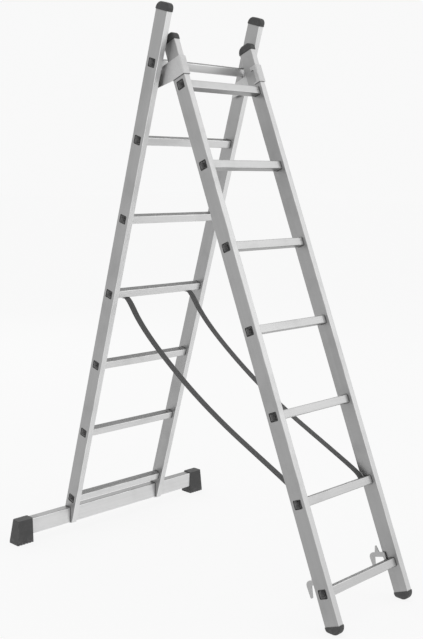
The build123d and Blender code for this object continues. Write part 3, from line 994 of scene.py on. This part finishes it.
@dataclass
class Straps(Assembly):
    """Webbing straps between the sections, with the plates and rivets that hold their ends.

    Attributes:
        across: distance of a strap's middle from the ladder's middle.
        width: width of the webbing.
        thickness: thickness of the webbing.
        cords: lengthwise cords that show across the width.
        groove: depth of the grooves between cords.
        length: length of a strap.
        route: (Y, Z) control points of a strap's middle line, from the base rung to the front rung. The
            second and the last but one keep the strap flat under its plates. Between the plates the points
            follow the picture, within 21 mm of the CAD's route.
        order: order of the line's spline, whose pieces are parabolas.
        smoothness: points read between two control points.
        cord_points: points across a cord.
        edge_points: points round a selvedge, with both ends.
        held: share of the strap at each end that stays with its rung.
    """

    across: float = 0.157
    width: float = 0.027
    thickness: float = 0.002
    cords: int = 13
    groove: float = 0.00016
    length: float = 1.0581
    route: tuple[Pair, ...] = (
        (0.39841, 0.933),
        (0.3878, 0.9301),
        (0.36271, 0.92323),
        (0.30406, 0.846),
        (0.19506, 0.753),
        (0.03306, 0.641),
        (-0.12894, 0.549),
        (-0.29094, 0.4725),
        (-0.39994, 0.4207),
        (-0.45813, 0.39057),
        (-0.46829, 0.36663),
        (-0.47258, 0.35651),
    )
    order: ClassVar[int] = 3
    smoothness: ClassVar[int] = 24
    cord_points: ClassVar[int] = 4
    edge_points: ClassVar[int] = 7
    held: ClassVar[float] = 1 / 12
    finishes = {CLAMP: ("strap_clamp",), FASTENER: ("strap_rivets",)}
    own_finish = WEBBING

    def middle_line(self, x: float) -> np.ndarray:
        """Read points along the smooth line whose control points are the route.

        The line is a spline of parabolas from the route's first point to its last, drawn towards the others.

        Args:
            x: place of the line across the ladder.

        Returns:
            The points, one row each.
        """
        curve = bpy.data.curves.new("strap line", "CURVE")
        curve.dimensions = "3D"
        curve.resolution_u = self.smoothness
        spline = curve.splines.new("NURBS")
        spline.points.add(len(self.route) - 1)
        rows = np.array([(x, y, z, 1.0) for y, z in self.route])
        spline.points.foreach_set("co", rows.ravel())
        spline.order_u = self.order
        spline.use_endpoint_u = True
        holder = bpy.data.objects.new("strap line", curve)
        bpy.context.scene.collection.objects.link(holder)
        bpy.context.view_layer.update()
        sampled = bpy.data.meshes.new_from_object(holder.evaluated_get(bpy.context.evaluated_depsgraph_get()))
        points = np.empty(3 * len(sampled.vertices))
        sampled.vertices.foreach_get("co", points)
        bpy.data.objects.remove(holder)
        bpy.data.curves.remove(curve)
        bpy.data.meshes.remove(sampled)
        return points.reshape(-1, 3)

    def section(self) -> np.ndarray:
        """Outline of the webbing: two faces ribbed by its cords, joined by round selvedges.

        The upper face's height is half the thickness less the groove's depth times a squared cosine of the
        place across, and the lower face mirrors it.

        Returns:
            (across, up) points round the outline, one row each.
        """
        half = self.thickness / 2
        flat = self.width / 2 - half
        across = np.linspace(-flat, flat, self.cords * self.cord_points + 1)
        valley = np.cos(pi * self.cords * (across + flat) / (2 * flat)) ** 2
        upper = np.column_stack((across, half - self.groove * valley))
        turn = np.linspace(pi / 2, -pi / 2, self.edge_points)[1:-1]
        edge = np.column_stack((flat + half * np.cos(turn), half * np.sin(turn)))
        return np.vstack((upper, edge, -upper, -edge))

    def weave(self, piece: Piece, outline: np.ndarray, along: np.ndarray) -> None:
        """Lay the weave on a strap: U is the place across the webbing and V the length along it.

        Args:
            piece: the strap.
            outline: (across, up) points round the webbing.
            along: length along the strap at each row of its points.
        """
        flat = np.empty((len(along), len(outline), 2))
        flat[..., 0] = outline[:, 0]
        flat[..., 1] = along[:, None]
        corners = np.empty(len(piece.data.loops), int)
        piece.data.loops.foreach_get("vertex_index", corners)
        layer = piece.data.uv_layers.new(name="weave")
        layer.data.foreach_set("uv", flat.reshape(-1, 2)[corners].ravel())

    def build_one(self, side: Side) -> Piece:
        """Carry the webbing's outline along one strap's middle line.

        At each point of the line the outline's across direction is X and its up direction is square to X and
        to the line's direction.

        Args:
            side: side of the ladder.

        Returns:
            The strap.
        """
        line = self.middle_line(side.value * self.across)
        heading = np.gradient(line, axis=0)
        heading /= np.linalg.norm(heading, axis=1, keepdims=True)
        up = np.cross(heading, ACROSS)
        outline = self.section()
        rows, count = len(line), len(outline)
        points = line[:, None] + outline[:, :1] * ACROSS + outline[:, 1:] * up[:, None]
        ends = [list(range(count)), list(range((rows - 1) * count, rows * count))[::-1]]
        faces = grid_quads(rows, count, ring=False)[:, ::-1].tolist() + ends
        piece = new_mesh(f"webbing_{side.name.lower()}", points.reshape(-1, 3), faces)
        steps = np.linalg.norm(np.diff(line, axis=0), axis=1)
        self.weave(piece, outline, np.concatenate(([0.0], np.cumsum(steps))))
        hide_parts(f"strap_{side.name.lower()}")
        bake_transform(piece)
        return piece

    def build(self) -> list[Piece]:
        """Build both straps."""
        return [self.build_one(side) for side in Side]


@dataclass
class Lamp:
    """Soft lamp that faces a point.

    Attributes:
        name: name of the lamp.
        place: where it stands.
        size: width and height of its panel.
        power: power in watts.
        aim: point that it faces.
    """

    name: str
    place: Triple
    size: Pair
    power: float
    aim: Triple = (0.0, 0.0, 0.9)

    def build(self) -> None:
        """Hang the lamp in the scene."""
        panel = bpy.data.lights.new(self.name, "AREA")
        panel.shape = "RECTANGLE"
        panel.size, panel.size_y = self.size
        panel.energy = self.power
        holder = bpy.data.objects.new(self.name, panel)
        turn = (Vector(self.aim) - Vector(self.place)).to_track_quat("-Z", "Y")
        holder.matrix_world = Matrix.Translation(self.place) @ turn.to_matrix().to_4x4()
        bpy.context.scene.collection.objects.link(holder)


@dataclass
class Studio:
    """Pale floor, white surroundings and soft lamps.

    Attributes:
        floor_half: half of the floor's width.
        floor_tone: grey level of the floor.
        floor_rough: roughness of the floor.
        floor_glow: share of the floor that is plain white to the camera and in reflections.
        ambient: strength of the surroundings' light on surfaces.
        backdrop: brightness of the surroundings to the camera and in reflections, matched to the floor.
        lamps: lamps round the ladder.
    """

    floor_half: float = 30.0
    floor_tone: float = 0.90
    floor_rough: float = 0.9
    floor_glow: float = 0.86
    ambient: float = 0.65
    backdrop: float = 0.945
    lamps: tuple[Lamp, ...] = (
        Lamp("key", place=(2.6, -4.2, 3.4), size=(5.0, 4.0), power=36.0),
        Lamp("fill", place=(-4.6, -1.2, 2.6), size=(3.0, 3.0), power=14.0),
        Lamp("back", place=(1.5, 4.6, 3.0), size=(4.0, 3.0), power=25.0),
    )

    def seen_directly(self, graph: NodeGraph) -> Socket:
        """Find which rays see the background itself: from the camera, a reflection or a clear piece.

        Args:
            graph: tree that asks.

        Returns:
            A socket that is 1 for those rays and 0 for others.
        """
        path = graph.node("ShaderNodeLightPath").outputs
        bounced = graph.calc("MAXIMUM", path["Is Glossy Ray"], path["Is Transmission Ray"])
        return graph.calc("MAXIMUM", path["Is Camera Ray"], bounced)

    def light_world(self) -> None:
        """Surround the scene with white for direct rays and with a plain level of light for surfaces."""
        world = bpy.data.worlds.new("studio")
        bpy.context.scene.world = world
        graph = NodeGraph(world)
        lights = [
            graph.node("ShaderNodeBackground", {"Color": WHITE, "Strength": strength}).outputs[0]
            for strength in (self.ambient, self.backdrop)
        ]
        mix = graph.mixed(self.seen_directly(graph), *lights)
        graph.node("ShaderNodeOutputWorld", {"Surface": mix})

    def lay_floor(self) -> None:
        """Lay a flat floor that looks nearly white and keeps a soft shadow."""
        half = self.floor_half
        corners = np.array([(-half, -half, 0.0), (half, -half, 0.0), (half, half, 0.0), (-half, half, 0.0)])
        floor = new_mesh("floor", corners, [[0, 1, 2, 3]])
        graph = ShaderGraph("floor paint")
        colour = (*[self.floor_tone] * 3, 1.0)
        graph.set(Base_Color=colour, Roughness=self.floor_rough, Specular_IOR_Level=0.0)
        glow = graph.node("ShaderNodeEmission")
        share = graph.calc("MULTIPLY", self.seen_directly(graph), self.floor_glow)
        mix = graph.mixed(share, graph.shader.outputs[0], glow.outputs[0])
        graph.feed(graph.output.inputs["Surface"], mix)
        floor.data.materials.append(graph.material)

    def build(self) -> None:
        """Set up the floor, the surroundings and the lamps."""
        self.lay_floor()
        self.light_world()
        for lamp in self.lamps:
            lamp.build()
        bpy.context.scene.view_settings.view_transform = "Standard"


@dataclass
class Viewpoint:
    """Camera at the picture's viewing angle.

    Attributes:
        place: where the camera stands.
        yaw: heading from +Y towards +X, in degrees.
        pitch: rise of the heading, in degrees.
        roll: turn about the heading, in degrees.
        focal: focal length as a share of the frame's height.
        lift: how far the frame's middle lies above the heading, as a share of its height.
        film: height of the film, in millimetres.
        reach: furthest distance that the camera sees.
    """

    place: Triple = (-2.5124, -2.35414, 1.4153)
    yaw: float = 45.72
    pitch: float = -9.32
    roll: float = 1.05
    focal: float = 1.56624
    lift: float = 0.01099
    film: ClassVar[float] = 36.0
    reach: ClassVar[float] = 100.0

    def build(self) -> None:
        """Stand the camera in the scene and make it the scene's own."""
        yaw, pitch, roll = radians(self.yaw), radians(self.pitch), radians(self.roll)
        ahead = Vector((sin(yaw) * cos(pitch), cos(yaw) * cos(pitch), sin(pitch)))
        right = ahead.cross(Vector((0.0, 0.0, 1.0))).normalized()
        up = right.cross(ahead)
        level, raised = right * cos(roll) + up * sin(roll), up * cos(roll) - right * sin(roll)
        camera = bpy.data.cameras.new("camera")
        camera.sensor_fit = "VERTICAL"
        camera.sensor_width = camera.sensor_height = self.film
        camera.lens = self.focal * self.film
        camera.shift_y = self.lift
        camera.clip_end = self.reach
        holder = bpy.data.objects.new("camera", camera)
        turn = Matrix((level, raised, -ahead)).transposed().to_4x4()
        holder.matrix_world = Matrix.Translation(self.place) @ turn
        bpy.context.scene.collection.objects.link(holder)
        bpy.context.scene.camera = holder


def main() -> None:
    """Build and dress the ladder, then set up the studio round it."""
    logging.basicConfig(level=logging.INFO, format="%(name)s: %(message)s")
    for assembly in (BaseSection(), Stabiliser(), FrontSection(), Pivot(), Straps()):
        assembly.dress(assembly.build())
    Studio().build()
    Viewpoint().build()


if __name__ == "__main__":
    main()
